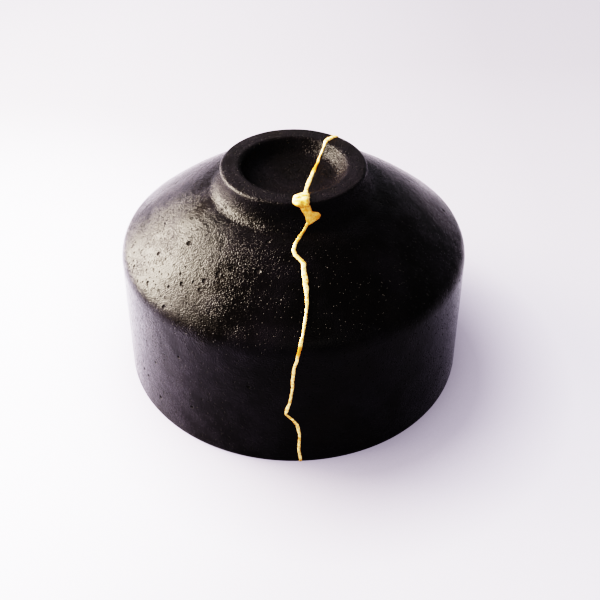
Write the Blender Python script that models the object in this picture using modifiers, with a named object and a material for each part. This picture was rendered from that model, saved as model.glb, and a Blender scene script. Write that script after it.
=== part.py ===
"""A hand-carved tea bowl that broke in two and was mended with gold lacquer.

It stands upside down, on its rim, with its foot up. Sizes are in metres and +Z is up. The origin is the
middle of the rim, on the surface that the bowl stands on. The break climbs the wall on the -Y side,
crosses the foot and runs down the far side, so one shard is left of it, at -X, and the other is right.
"""

import math

import bmesh
import bpy

# Outer form
HEIGHT = 0.0780
HIP_RADIUS = 0.0600
RIM_SPREAD = 0.0014
HIP_HEIGHT = 0.0497
HIP_ROUND_DOWN = 0.0041
HIP_ROUND_IN = 0.0025
DOME_BEND = 1.37

# Foot ring, and the recess that is carved inside it
FOOT_RADIUS = 0.0245
FOOT_HEIGHT = 0.0088
FOOT_FLARE = 0.0046
FLARE_HOLLOW_SHARE = 0.11
FOOT_EDGE_ROUND = 0.0014
RECESS_RADIUS = 0.0182
RECESS_DEPTH = 0.0052

# Clay thickness
WALL = 0.0060
LIP = 0.0052
LIP_ROUND = 0.0014
BASE = 0.0078
WELL_RADIUS = 0.0220
WELL_DIP = 0.0016
INSIDE_FULLNESS = 0.56

# Break and mend
SEAM_WIDTH = 0.0011
SEAM_PROUD = 0.0003
SEAM_CLEARANCE = 0.0003
CHIP_DEPTH = 0.0020
CUT_MARGIN = 0.0040
HUB_SHARE = 0.60
SHEET_SHARE = 0.85

# How finely round shapes are divided
TURN_STEPS = 56
CURVE_STEPS = 5
DOME_STEPS = 7

# Weld distance for points that coincide
WELD = 0.000001

# Recess from its lip to its middle: share of its radius, share of its depth. Two turned steps ring the floor.
RECESS_STEPS = (
    (1.02, 0.00),
    (0.96, 0.10),
    (0.91, 0.42),
    (0.85, 0.68),
    (0.74, 0.86),
    (0.44, 0.96),
    (0.00, 1.00),
)

# The break's route, as stretch, share of the stretch, x as a share of the foot's radius, and width as a share
# of the seam's. It starts below the rim at the front.
FRONT_ROUTE = (
    ("wall", -0.10, 0.110, 1.00),
    ("wall", 0.03, 0.106, 1.05),
    ("wall", 0.13, 0.086, 1.00),
    ("wall", 0.28, 0.094, 0.91),
    ("wall", 0.36, 0.061, 1.00),
    ("wall", 0.41, 0.000, 0.86),
    ("wall", 0.457, -0.090, 0.73),
    ("wall", 0.49, -0.073, 1.09),
    ("wall", 0.54, -0.041, 0.95),
    ("wall", 0.66, -0.004, 0.82),
    ("wall", 0.76, 0.008, 1.05),
    ("wall", 0.845, 0.020, 0.82),
    ("wall", 0.92, 0.059, 0.91),
    ("dome", 0.015, 0.094, 1.09),
    ("dome", 0.115, 0.131, 0.73),
    ("dome", 0.24, 0.163, 0.86),
    ("dome", 0.36, 0.180, 0.82),
    ("dome", 0.48, 0.171, 1.18),
    ("dome", 0.60, 0.149, 1.45),
    ("dome", 0.71, 0.135, 1.09),
    ("dome", 0.75, 0.088, 0.91),
    ("dome", 0.79, 0.031, 1.00),
    ("dome", 0.845, 0.010, 1.05),
    ("dome", 0.91, 0.031, 1.05),
    ("dome", 0.985, 0.078, 0.95),
    ("foot", 0.14, 0.139, 0.77),
    ("foot", 0.34, 0.192, 0.73),
    ("foot", 0.85, 0.159, 1.09),
    ("ring", 0.50, 0.143, 1.18),
    ("ring", 0.97, 0.141, 1.18),
)
# Across the recess the second number is y as a share of the recess's radius.
RECESS_ROUTE = (
    ("recess", -0.62, 0.157, 1.36),
    ("recess", -0.24, 0.196, 1.32),
    ("recess", 0.16, 0.265, 1.27),
    ("recess", 0.34, 0.300, 1.18),
    ("recess", 0.46, 0.331, 1.00),
    ("recess", 0.59, 0.345, 0.82),
    ("recess", 0.67, 0.371, 0.73),
)
BACK_ROUTE = (
    ("ring", 0.92, 0.449, 1.27),
    ("ring", 0.62, 0.492, 1.50),
    ("ring", 0.30, 0.551, 1.36),
    ("foot", 0.97, 0.620, 1.00),
    ("foot", 0.45, 0.641, 0.91),
    ("dome", 0.96, 0.673, 1.00),
    ("dome", 0.78, 0.735, 0.86),
    ("dome", 0.62, 0.706, 1.09),
    ("dome", 0.40, 0.776, 1.00),
    ("dome", 0.22, 0.739, 0.86),
    ("dome", 0.05, 0.759, 1.00),
    ("wall", 0.80, 0.690, 0.95),
    ("wall", 0.62, 0.718, 0.86),
    ("wall", 0.48, 0.637, 1.00),
    ("wall", 0.30, 0.600, 0.91),
    ("wall", 0.05, 0.612, 1.00),
    ("wall", -0.10, 0.616, 1.00),
)
# How far the break leans sideways for each metre outwards, where it climbs the recess's far wall. The lean
# grows between these two shares of the recess's radius.
RECESS_LEAN_RATIO = 0.34
LEAN_START_SHARE = 0.40
LEAN_FULL_SHARE = 0.77

# Chip in the foot ring beside the break: stretch, share, and its left and right edge as shares of the radius
CHIP_ROWS = (
    ("foot", 0.27, 0.180, 0.208),
    ("foot", 0.33, 0.176, 0.269),
    ("foot", 0.42, 0.167, 0.339),
    ("foot", 0.52, 0.153, 0.359),
    ("foot", 0.62, 0.135, 0.335),
    ("foot", 0.67, 0.122, 0.253),
    ("foot", 0.76, 0.106, 0.237),
    ("foot", 0.90, 0.082, 0.222),
    ("foot", 1.00, 0.024, 0.208),
    ("ring", 0.15, 0.000, 0.208),
    ("ring", 0.48, -0.012, 0.212),
    ("ring", 0.75, 0.000, 0.212),
    ("ring", 0.94, 0.049, 0.204),
    ("ring", 1.02, 0.090, 0.180),
)

# Colours from the photo, as linear red, green, blue and alpha
GLAZE_COLOUR = (0.012, 0.010, 0.013, 1.0)
GOLD_COLOUR = (0.80, 0.52, 0.16, 1.0)


def mix(start, end, share):
    return start + (end - start) * share


def curve(start, handle, end, steps):
    """Points on a quadratic curve, without its two ends."""
    points = []
    for i in range(1, steps):
        t = i / steps
        near, middle, far = (1 - t) ** 2, 2 * t * (1 - t), t * t
        points.append(tuple(near * a + middle * b + far * c for a, b, c in zip(start, handle, end)))
    return points


def rim_radius():
    """The wall widens evenly from the hip to the rim."""
    return HIP_RADIUS + RIM_SPREAD


def dome_height(radius):
    """Height of the dome between hip and foot."""
    inner = FOOT_RADIUS + FOOT_FLARE
    share = max(0.0, (radius - inner) / (HIP_RADIUS - inner))
    return mix(HEIGHT - FOOT_HEIGHT, HIP_HEIGHT, share**DOME_BEND)


def recess_profile():
    """From the middle of the recess out to its lip."""
    points = [(RECESS_RADIUS * out, HEIGHT - RECESS_DEPTH * down) for out, down in RECESS_STEPS]
    return points[::-1]


def foot_profile():
    """From the ring's face, over its edge and down the outer wall into the dome."""
    face = (FOOT_RADIUS - FOOT_EDGE_ROUND, HEIGHT)
    side = (FOOT_RADIUS, HEIGHT - FOOT_EDGE_ROUND)
    dome = (FOOT_RADIUS + FOOT_FLARE, HEIGHT - FOOT_HEIGHT)
    edge = curve(face, (FOOT_RADIUS, HEIGHT), side, 3)
    hollow = (FOOT_RADIUS + FOOT_FLARE * FLARE_HOLLOW_SHARE, mix(dome[1], side[1], FLARE_HOLLOW_SHARE))
    flare = curve(side, hollow, dome, CURVE_STEPS)
    return [face, *edge, side, *flare, dome]


def body_profile():
    """From the foot over the dome and the hip to the foot of the wall."""
    start = FOOT_RADIUS + FOOT_FLARE
    end = HIP_RADIUS - HIP_ROUND_IN
    radii = [mix(start, end, i / DOME_STEPS) for i in range(1, DOME_STEPS + 1)]
    dome = [(radius, dome_height(radius)) for radius in radii]
    wall_top = (HIP_RADIUS, HIP_HEIGHT - HIP_ROUND_DOWN)
    return [*dome, *curve(dome[-1], (HIP_RADIUS, HIP_HEIGHT), wall_top, CURVE_STEPS), wall_top]


def lip_profile():
    """Round the rim, from the outer wall to the inner one, with a flat band that the bowl stands on."""
    outer, inner = rim_radius(), rim_radius() - LIP
    outside, band_out = (outer, LIP_ROUND), (outer - LIP_ROUND, 0.0)
    band_in, inside = (inner + LIP_ROUND, 0.0), (inner, LIP_ROUND)
    first = curve(outside, (outer, 0.0), band_out, 3)
    second = curve(band_in, (inner, 0.0), inside, 3)
    return [outside, *first, band_out, band_in, *second, inside]


def inside_profile():
    """Up the inner wall and over the inside of the dome to the middle of the bowl's well."""
    radius = HIP_RADIUS - WALL
    well = (WELL_RADIUS, well_edge_height())
    wall_top = (radius, HIP_HEIGHT - WALL - HIP_ROUND_DOWN / 2)
    corner = (radius, mix(HIP_HEIGHT, well[1], INSIDE_FULLNESS))
    middle = (0.0, HEIGHT - RECESS_DEPTH - BASE)
    pool = curve(well, (WELL_RADIUS / 2, middle[1]), middle, 3)
    return [wall_top, *curve(wall_top, corner, well, CURVE_STEPS + 2), well, *pool, middle]


def bowl_profile():
    """The whole bowl in section, from the middle of the recess, outside and round to the middle of the well."""
    return [*recess_profile(), *foot_profile(), *body_profile(), *lip_profile(), *inside_profile()]


def grown(profile, amount):
    """The profile moved out of the clay by an amount. Its ends stay on the axis, and it stays off the ground."""
    points = []
    for i, (radius, height) in enumerate(profile):
        before = profile[max(i - 1, 0)]
        after = profile[min(i + 1, len(profile) - 1)]
        run, rise = after[0] - before[0], after[1] - before[1]
        length = math.hypot(run, rise)
        radius = 0.0 if radius == 0.0 else radius - amount * rise / length
        points.append((radius, max(height + amount * run / length, amount)))
    return points


def collection(name):
    made = bpy.data.collections.new(name)
    bpy.context.scene.collection.children.link(made)
    return made


def turned(name, profile, home):
    """A profile turned round the Z axis."""
    mesh = bpy.data.meshes.new(name)
    mesh.from_pydata([(r, 0.0, z) for r, z in profile], [(i, i + 1) for i in range(len(profile) - 1)], [])
    item = bpy.data.objects.new(name, mesh)
    home.objects.link(item)
    screw = item.modifiers.new("turn", "SCREW")
    screw.axis = "Z"
    screw.angle = math.tau
    screw.steps = screw.render_steps = TURN_STEPS
    screw.use_merge_vertices = True
    screw.merge_threshold = WELD
    return item


def place_on_bowl(stretch, share, x, side):
    """The y and z of a point of the route. Side is -1 at the front and 1 at the back."""
    if stretch == "recess":
        return RECESS_RADIUS * share, HEIGHT - RECESS_DEPTH
    if stretch == "wall":
        radius, height = mix(rim_radius(), HIP_RADIUS, share), HIP_HEIGHT * share
    elif stretch == "dome":
        radius = mix(HIP_RADIUS, FOOT_RADIUS + FOOT_FLARE, share)
        height = dome_height(radius)
    elif stretch == "foot":
        radius = FOOT_RADIUS + FOOT_FLARE * (1 - share) ** 3
        height = mix(HEIGHT - FOOT_HEIGHT, HEIGHT, share)
    else:
        radius, height = mix(FOOT_RADIUS, RECESS_RADIUS, share), HEIGHT
    return side * math.sqrt(radius**2 - x**2), height


def well_edge_height():
    """Height of the inside at the edge of the well, where the ceiling is lowest above the hub."""
    return HEIGHT - RECESS_DEPTH - BASE - WELL_DIP


def hub_height():
    """Height of the line along X, inside the bowl, that the break's walls all point to."""
    return HIP_HEIGHT * HUB_SHARE


def polar(y, z):
    """Angle and distance of a point from the hub line."""
    z -= hub_height()
    return math.atan2(z, y) % math.tau, math.hypot(y, z)


def lean_at(y, z):
    """The break's sideways lean, which is there only where it climbs out of the recess at the back."""
    if z < HEIGHT - RECESS_DEPTH:
        return 0.0
    grown_share = (y / RECESS_RADIUS - LEAN_START_SHARE) / (LEAN_FULL_SHARE - LEAN_START_SHARE)
    return RECESS_LEAN_RATIO * min(1.0, max(0.0, grown_share))


def route_stations():
    """The whole route as y, z, x and width."""
    stations = []
    for rows, side in ((FRONT_ROUTE, -1), (RECESS_ROUTE, 1), (BACK_ROUTE, 1)):
        for stretch, share, across, width in rows:
            x = across * FOOT_RADIUS
            stations.append((*place_on_bowl(stretch, share, x, side), x, width * SEAM_WIDTH))
    return stations


def section(y, z, left, right, reach_in, reach_out, lean=0.0):
    """Four corners across the break, on one ray from the hub."""
    angle, distance = polar(y, z)
    if angle > 1.5 * math.pi:
        angle -= math.tau
    corners = []
    for x, reach in ((left, reach_in), (right, reach_in), (right, reach_out), (left, reach_out)):
        shifted = x + lean * (reach - distance)
        corners.append((shifted, reach * math.cos(angle), hub_height() + reach * math.sin(angle)))
    return corners


def lofted(name, sections, home):
    """A closed body through a row of four-cornered sections. Both of its broad sides are split alike."""
    shape = bmesh.new()
    rings = [[shape.verts.new(corner) for corner in corners] for corners in sections]
    for ring, following in zip(rings, rings[1:]):
        for i in range(4):
            j = (i + 1) % 4
            if i < 3:
                shape.faces.new((ring[i], ring[j], following[j]))
                shape.faces.new((ring[i], following[j], following[i]))
            else:
                shape.faces.new((ring[i], ring[j], following[i]))
                shape.faces.new((ring[j], following[j], following[i]))
    shape.faces.new(rings[0][::-1])
    shape.faces.new(rings[-1])
    bmesh.ops.recalc_face_normals(shape, faces=shape.faces[:])
    mesh = bpy.data.meshes.new(name)
    shape.to_mesh(mesh)
    shape.free()
    item = bpy.data.objects.new(name, mesh)
    item.hide_render = True
    item.display_type = "WIRE"
    home.objects.link(item)
    return item


def break_sheet(name, clearance, home):
    """The space of the break: a thin sheet from the empty inside of the bowl out past its surface."""
    stations = route_stations()
    reach_in = (well_edge_height() - hub_height()) * SHEET_SHARE
    sections = []
    for i, (y, z, x, width) in enumerate(stations):
        before = stations[max(i - 1, 0)]
        after = stations[min(i + 1, len(stations) - 1)]
        run = math.hypot(after[0] - before[0], after[1] - before[1])
        slope = (after[2] - before[2]) / run
        half = (width / 2 + clearance) * math.hypot(1.0, slope)
        reach_out = polar(y, z)[1] + CUT_MARGIN
        sections.append(section(y, z, x - half, x + half, reach_in, reach_out, lean_at(y, z)))
    return lofted(name, sections, home)


def chip_block(name, clearance, home):
    """The space of the chip: a shallow block that follows the ring's edge."""
    sections = []
    for stretch, share, left_share, right_share in CHIP_ROWS:
        left, right = left_share * FOOT_RADIUS, right_share * FOOT_RADIUS
        y, z = place_on_bowl(stretch, share, (left + right) / 2, -1)
        reach = polar(y, z)[1]
        reach_in = reach - CHIP_DEPTH - clearance
        reach_out = reach + CUT_MARGIN
        sections.append(section(y, z, left - clearance, right + clearance, reach_in, reach_out))
    if clearance:
        sections.insert(0, shifted_end(sections[0], sections[1], clearance))
        sections.append(shifted_end(sections[-1], sections[-2], clearance))
    return lofted(name, sections, home)


def shifted_end(end, following, amount):
    """A copy of an end section, moved on past it by an amount."""
    step = [a - b for a, b in zip(end[0], following[0])]
    length = math.hypot(*step[1:])
    move = (0.0, step[1] / length * amount, step[2] / length * amount)
    return [tuple(c + m for c, m in zip(corner, move)) for corner in end]


def boolean(item, operation, other):
    modifier = item.modifiers.new(operation.lower(), "BOOLEAN")
    modifier.operation = operation
    modifier.solver = "EXACT"
    modifier.object = other
    return modifier


def evaluated_mesh(item):
    """The object's mesh with its modifiers applied and coinciding points welded."""
    depsgraph = bpy.context.evaluated_depsgraph_get()
    mesh = bpy.data.meshes.new_from_object(item.evaluated_get(depsgraph))
    shape = bmesh.new()
    shape.from_mesh(mesh)
    bmesh.ops.remove_doubles(shape, verts=shape.verts[:], dist=WELD)
    shape.to_mesh(mesh)
    shape.free()
    return mesh


def loose_parts(shape):
    """The groups of joined vertices in a bmesh."""
    left = set(shape.verts)
    groups = []
    while left:
        group = set()
        front = [left.pop()]
        while front:
            vertex = front.pop()
            group.add(vertex)
            for edge in vertex.link_edges:
                other = edge.other_vert(vertex)
                if other in left:
                    left.remove(other)
                    front.append(other)
        groups.append(group)
    return groups


def shard(name, whole, side, colour_material, home):
    """The half of the broken bowl on one side: -1 is left and 1 is right."""
    shape = bmesh.new()
    shape.from_mesh(whole)
    groups = sorted(loose_parts(shape), key=lambda group: sum(v.co.x for v in group) / len(group))
    kept = groups[0] if side < 0 else groups[-1]
    others = [vertex for vertex in shape.verts if vertex not in kept]
    bmesh.ops.delete(shape, geom=others, context="VERTS")
    mesh = bpy.data.meshes.new(name)
    shape.to_mesh(mesh)
    shape.free()
    return finished(name, mesh, colour_material, home)


def finished(name, mesh, colour_material, home):
    """A visible piece with its material, smooth on its round stretches."""
    mesh.materials.clear()
    mesh.materials.append(colour_material)
    mesh.shade_smooth()
    mesh.set_sharp_from_angle(angle=math.radians(30))
    item = bpy.data.objects.new(name, mesh)
    home.objects.link(item)
    return item


def material(name, colour, roughness, metallic):
    made = bpy.data.materials.new(name)
    made.use_nodes = True
    shader = made.node_tree.nodes["Principled BSDF"]
    shader.inputs["Base Color"].default_value = colour
    shader.inputs["Roughness"].default_value = roughness
    shader.inputs["Metallic"].default_value = metallic
    return made


def main():
    for item in list(bpy.data.objects):
        bpy.data.objects.remove(item)
    home = collection("kintsugi bowl")
    cutters = collection("cutters")

    glaze = material("black glaze", GLAZE_COLOUR, 0.35, 0.0)
    gold = material("gold lacquer", GOLD_COLOUR, 0.32, 1.0)

    bowl = turned("whole bowl", bowl_profile(), cutters)
    boolean(bowl, "DIFFERENCE", break_sheet("break with clearance", SEAM_CLEARANCE, cutters))
    boolean(bowl, "DIFFERENCE", chip_block("chip with clearance", SEAM_CLEARANCE, cutters))
    broken = evaluated_mesh(bowl)
    shard("left_shard", broken, -1, glaze, home)
    shard("right_shard", broken, 1, glaze, home)

    filling = break_sheet("break", 0.0, cutters)
    boolean(filling, "UNION", chip_block("chip", 0.0, cutters))
    seam = turned("grown bowl", grown(bowl_profile(), SEAM_PROUD), cutters)
    boolean(seam, "INTERSECT", filling)
    finished("gold_seam", evaluated_mesh(seam), gold, home)

    for item in (bowl, seam):
        bpy.data.objects.remove(item)


main()
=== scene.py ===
"""Looks of a hand-carved black tea bowl that broke in two and was mended with gold lacquer.

The bowl stands upside down on its rim, with its foot up. Sizes are in metres. The break climbs the wall on
the -Y side, crosses the foot and runs down the far side. Run as a script, this builds both shards, the gold
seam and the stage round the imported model.
"""

import math

import bmesh
import bpy
from mathutils import Matrix, Vector, noise
from mathutils.bvhtree import BVHTree


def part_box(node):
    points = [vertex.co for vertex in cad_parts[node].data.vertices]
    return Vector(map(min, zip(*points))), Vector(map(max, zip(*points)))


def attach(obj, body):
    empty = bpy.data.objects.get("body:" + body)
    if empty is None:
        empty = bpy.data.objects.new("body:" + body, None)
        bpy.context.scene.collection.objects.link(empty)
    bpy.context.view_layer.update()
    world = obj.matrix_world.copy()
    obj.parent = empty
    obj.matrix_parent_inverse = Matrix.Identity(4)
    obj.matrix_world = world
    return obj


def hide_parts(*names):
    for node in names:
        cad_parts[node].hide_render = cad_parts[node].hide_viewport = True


bl_info = {
    "name": "Mended Tea Bowl",
    "version": (1, 0, 0),
    "blender": (4, 5, 0),
    "location": "View3D > Sidebar > Tea Bowl",
    "description": "A black tea bowl mended with gold, upside down on a pale floor",
    "category": "Object",
}

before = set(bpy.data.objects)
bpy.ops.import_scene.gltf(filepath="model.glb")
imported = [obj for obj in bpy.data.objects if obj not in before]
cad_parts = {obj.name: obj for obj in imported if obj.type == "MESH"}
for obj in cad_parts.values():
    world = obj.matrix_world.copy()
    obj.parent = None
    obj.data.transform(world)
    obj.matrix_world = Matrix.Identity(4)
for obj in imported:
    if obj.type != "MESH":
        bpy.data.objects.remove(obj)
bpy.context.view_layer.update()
LEFT_LOW, LEFT_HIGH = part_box("left_shard")

MM = 0.001
UP = Vector((0.0, 0.0, 1.0))
ACROSS = Vector((1.0, 0.0, 0.0))

# How finely the turned bowl is divided: wedges, steps all round, and steps along its section
WEDGES = 12
TURN_STEPS = 540
OUTSIDE_STEP = 0.66 * MM
INSIDE_STEP = 2.2 * MM
WELD = 0.001 * MM

# Edges sharper than this many degrees stay sharp, as along the break
SHARP_ANGLE = 40

# Recess inside the foot ring, from its lip to its middle: share of its radius, share of its depth
RECESS_STEPS = (
    (1.02, 0.00),
    (0.96, 0.10),
    (0.91, 0.42),
    (0.85, 0.68),
    (0.74, 0.86),
    (0.44, 0.96),
    (0.00, 1.00),
)

# The break's route: stretch, share of the stretch, x as a share of the foot's radius, and width as a share
# of the bead's. It starts below the rim at the front.
FRONT_ROUTE = (
    ("wall", -0.10, 0.110, 0.82),
    ("wall", 0.03, 0.106, 0.86),
    ("wall", 0.13, 0.086, 0.82),
    ("wall", 0.28, 0.094, 0.75),
    ("wall", 0.36, 0.061, 0.82),
    ("wall", 0.41, 0.000, 0.71),
    ("wall", 0.457, -0.090, 0.60),
    ("wall", 0.49, -0.073, 0.89),
    ("wall", 0.54, -0.041, 0.78),
    ("wall", 0.66, -0.004, 0.67),
    ("wall", 0.76, 0.008, 0.86),
    ("wall", 0.845, 0.020, 0.67),
    ("wall", 0.92, 0.059, 0.75),
    ("dome", 0.015, 0.094, 0.96),
    ("dome", 0.115, 0.131, 0.64),
    ("dome", 0.24, 0.163, 0.76),
    ("dome", 0.36, 0.180, 0.72),
    ("dome", 0.48, 0.171, 1.18),
    ("dome", 0.60, 0.149, 1.45),
    ("dome", 0.71, 0.135, 1.09),
    ("dome", 0.75, 0.088, 0.91),
    ("dome", 0.79, 0.031, 1.00),
    ("dome", 0.845, 0.010, 1.05),
    ("dome", 0.91, 0.031, 0.92),
    ("dome", 0.985, 0.078, 0.86),
    ("foot", 0.14, 0.139, 0.77),
    ("foot", 0.34, 0.192, 0.73),
    ("foot", 0.85, 0.159, 1.09),
    ("ring", 0.50, 0.143, 1.18),
    ("ring", 0.97, 0.141, 1.18),
)
# Across the recess the second number is y as a share of the recess's radius.
RECESS_ROUTE = (
    ("recess", -0.62, 0.157, 1.12),
    ("recess", -0.24, 0.196, 1.08),
    ("recess", 0.16, 0.265, 1.04),
    ("recess", 0.34, 0.300, 0.97),
    ("recess", 0.46, 0.331, 0.82),
    ("recess", 0.59, 0.345, 0.67),
    ("recess", 0.67, 0.371, 0.60),
)
BACK_ROUTE = (
    ("ring", 0.92, 0.449, 1.27),
    ("ring", 0.62, 0.492, 1.50),
    ("ring", 0.30, 0.551, 1.36),
    ("foot", 0.97, 0.620, 1.00),
    ("foot", 0.45, 0.641, 0.91),
    ("dome", 0.96, 0.673, 1.00),
    ("dome", 0.78, 0.735, 0.86),
    ("dome", 0.62, 0.706, 1.09),
    ("dome", 0.40, 0.776, 1.00),
    ("dome", 0.22, 0.739, 0.86),
    ("dome", 0.05, 0.759, 1.00),
    ("wall", 0.80, 0.690, 0.95),
    ("wall", 0.62, 0.718, 0.86),
    ("wall", 0.48, 0.637, 1.00),
    ("wall", 0.30, 0.600, 0.91),
    ("wall", 0.05, 0.612, 1.00),
    ("wall", -0.10, 0.616, 1.00),
)
# The break leans sideways only where it climbs the recess's far wall, between two shares of its radius.
RECESS_LEAN = 0.34
LEAN_START = 0.40
LEAN_FULL = 0.77

# Spacing of rows along the break and the chip, for the cuts and for the gold
BREAK_STEP = 1.0 * MM
SEAM_STEP = 0.40 * MM
CHIP_STEP = 0.8 * MM
CHIP_GOLD_STEP = 0.25 * MM
CHIP_POINTS = 13

# How far the cuts reach past the clay
BREAK_MARGIN = 3 * MM
CHIP_MARGIN = 2 * MM

# How far the break's line steps off the inner surface before it looks for the outer one
SKIN = 0.5 * MM

# Unevenness from the maker's hands: waves per metre, a shift that sets each apart, height in millimetres
HAND_WAVES = (
    (26.0, 0.0 * UP, 0.16),
    (85.0, ACROSS, 0.07),
    (240.0, -ACROSS, 0.009),
    (560.0, UP, 0.003),
)
# Rings left by the turning tool, in the recess and on the dome near the foot: spacing, height and waver
RING_WAVES = 60.0
RING_WAVER = 2.0
RECESS_RING = 2.4 * MM
RECESS_RING_HEIGHT = 0.07 * MM
FOOT_RING = 2.6 * MM
FOOT_RING_HEIGHT = 0.030 * MM

# The gold line's uneven edges, as waves per metre and share of its width, its shift and its swelling
EDGE_WAVES = ((420.0, 0.30), (1300.0, 0.16))
SHIFT_WAVE = 300.0
LINE_SHIFT = 0.10 * MM
SWELL_WAVE = 500.0
SWELL_SHARE = 0.35
# The bead's section: how far its edges tuck under and into the glaze, and how square its crown is
TUCK_SHARE = 0.92
TUCK_DEPTH = 0.20 * MM
BEAD_SINK = 0.02 * MM
CROWN_POWER = 0.55
OUTER_BEAD_POINTS = 9
INNER_BEAD_POINTS = 7
# The bead on the inside is a little smaller, and the lacquer between both is this far from the surfaces.
INNER_WIDTH_SHARE = 0.9
INNER_HEIGHT_SHARE = 0.6
NECK_DEPTH = 0.4 * MM

# Wrinkles in the gold over the chip: waves per metre and height, and how far they fray its edges
WRINKLES = ((520.0, 0.10), (1400.0, 0.07))
WRINKLE_RISE = 3.0
FRAY = 2.2 * MM
CHIP_ROOT_SHARE = 0.98

# Gold over the chip in the foot ring: stretch, share, left and right edge as shares of the foot's radius,
# and thickness in millimetres. A thin fold under the cap's lip parts the patch below it from the cap above.
CHIP_ROWS = (
    ("foot", 0.27, 0.180, 0.208, 0.15),
    ("foot", 0.33, 0.176, 0.269, 0.28),
    ("foot", 0.42, 0.167, 0.339, 0.38),
    ("foot", 0.52, 0.153, 0.359, 0.42),
    ("foot", 0.62, 0.135, 0.335, 0.36),
    ("foot", 0.67, 0.122, 0.253, 0.30),
    ("foot", 0.76, 0.106, 0.237, 0.26),
    ("foot", 0.86, 0.090, 0.226, 0.12),
    ("foot", 0.92, 0.060, 0.222, 0.62),
    ("foot", 1.00, 0.024, 0.208, 0.78),
    ("ring", 0.15, 0.000, 0.208, 0.80),
    ("ring", 0.48, -0.012, 0.212, 0.76),
    ("ring", 0.75, 0.000, 0.212, 0.62),
    ("ring", 0.94, 0.049, 0.204, 0.40),
    ("ring", 1.02, 0.090, 0.180, 0.15),
)

# Pits in the glaze: stretch, share of the stretch, angle from the front in degrees, radius in millimetres
PITS = (
    ("dome", 0.60, -53, 0.75),
    ("dome", 0.34, -62, 0.60),
    ("dome", 0.35, -46, 0.45),
    ("dome", 0.29, -43, 0.62),
    ("dome", 0.35, -39, 0.42),
    ("dome", 0.40, -35, 0.70),
    ("dome", 0.32, -35, 0.55),
    ("dome", 0.21, -47, 0.45),
    ("dome", 0.12, -56, 0.50),
    ("dome", 0.10, -67, 0.45),
    ("dome", 0.14, -73, 0.35),
    ("dome", 0.06, -44, 0.60),
    ("dome", 0.52, -107, 0.45),
    ("dome", 0.50, -31, 0.75),
    ("dome", 0.61, -15, 0.90),
    ("dome", 0.91, -14, 0.60),
    ("dome", 0.56, 108, 0.50),
    ("dome", 0.22, 97, 0.75),
    ("wall", 0.94, 68, 0.60),
    ("wall", 0.51, -49, 0.55),
    ("wall", 0.30, -58, 0.60),
    ("wall", 0.29, -55, 0.55),
    ("wall", 0.20, -48, 0.70),
    ("wall", 0.32, -33, 0.55),
    ("wall", 0.67, -13, 0.60),
    ("wall", 0.72, -37, 0.50),
)


def linear(hex_colour):
    """A colour written as #rrggbb in sRGB, as linear red, green, blue and alpha."""
    values = []
    for i in (1, 3, 5):
        share = int(hex_colour[i : i + 2], 16) / 255
        values.append(share / 12.92 if share <= 0.04045 else ((share + 0.055) / 1.055) ** 2.4)
    return (*values, 1.0)


def length(name, about, default):
    """A size that a user can change, in metres."""
    return bpy.props.FloatProperty(
        name=name, description=about, default=default, unit="LENGTH", precision=5
    )


def tint(name, about, hex_colour):
    """A colour that a user can change."""
    return bpy.props.FloatVectorProperty(
        name=name, description=about, default=linear(hex_colour), subtype="COLOR", size=4, min=0.0, max=1.0
    )


class ClaySizes(bpy.types.PropertyGroup):
    """Sizes of the thrown and carved bowl"""

    height: length("Height", "From the rim to the foot ring's face", LEFT_HIGH.z)
    rim_radius: length("Rim radius", "Outside of the rim, which the bowl stands on", -LEFT_LOW.x)
    rim_spread: length("Rim spread", "How far the wall widens from the hip to the rim", 0.0014)
    hip_height: length("Hip height", "Where the wall turns into the dome", 0.0497)
    hip_down: length("Hip round down", "How far the hip's rounding reaches down the wall", 0.0041)
    hip_in: length("Hip round in", "How far the hip's rounding reaches in on the dome", 0.0025)
    foot_radius: length("Foot radius", "Outside of the foot ring", 0.0245)
    foot_height: length("Foot height", "From the dome to the ring's face", 0.0088)
    foot_flare: length("Foot flare", "How far the foot spreads into the dome", 0.0046)
    foot_round: length("Foot edge", "Rounding of the ring's outer edge", 0.0014)
    recess_radius: length("Recess radius", "Radius of the hollow inside the foot ring", 0.0182)
    recess_depth: length("Recess depth", "Depth of the hollow inside the foot ring", 0.0052)
    wall: length("Wall", "Thickness of the wall", 0.0060)
    lip: length("Lip", "Thickness of the lip", 0.0052)
    lip_round: length("Lip round", "Rounding of the lip's two edges", 0.0014)
    base: length("Base", "Thickness under the recess", 0.0078)
    well_radius: length("Well radius", "Round pool in the inside's middle", 0.0220)
    well_dip: length("Well dip", "Depth of that pool", 0.0016)


class GoldSizes(bpy.types.PropertyGroup):
    """Sizes of the gold mend"""

    bead_width: length("Bead width", "Usual width of the gold line", 0.0013)
    bead_height: length("Bead height", "How far the line stands out of the glaze", 0.00032)
    gap: length("Gap", "Width of the break inside the wall, which lacquer fills", 0.0007)
    chip_depth: length("Chip depth", "How deep the gold goes into the chipped foot ring", 0.0018)


class BowlColours(bpy.types.PropertyGroup):
    """Colours of the finishes"""

    glaze: tint("Glaze", "Black glaze", "#050404")
    bloom: tint("Bloom", "Lavender-grey bloom in the glaze", "#0c0a0d")
    rust: tint("Rust", "Where iron in the clay tints the glaze", "#090706")
    gold: tint("Gold", "Gold dust", "#f5d48e")
    # Deep gold is mostly painted shade, in the hollows of the folds and on the patch, and also a deeper
    # tone at a few spots
    deep_gold_and_shade: tint("Deep gold", "Gold in the folds and on the patch", "#ac7018")
    floor: tint("Floor", "Pale table", "#4c494f")


def mix(start, end, share):
    """A value part of the way from one to another."""
    return start + (end - start) * share


def ramp(value, start, end):
    """0 before start, 1 after end, and smooth between."""
    share = min(1.0, max(0.0, (value - start) / (end - start)))
    return share * share * (3.0 - 2.0 * share)


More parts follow.
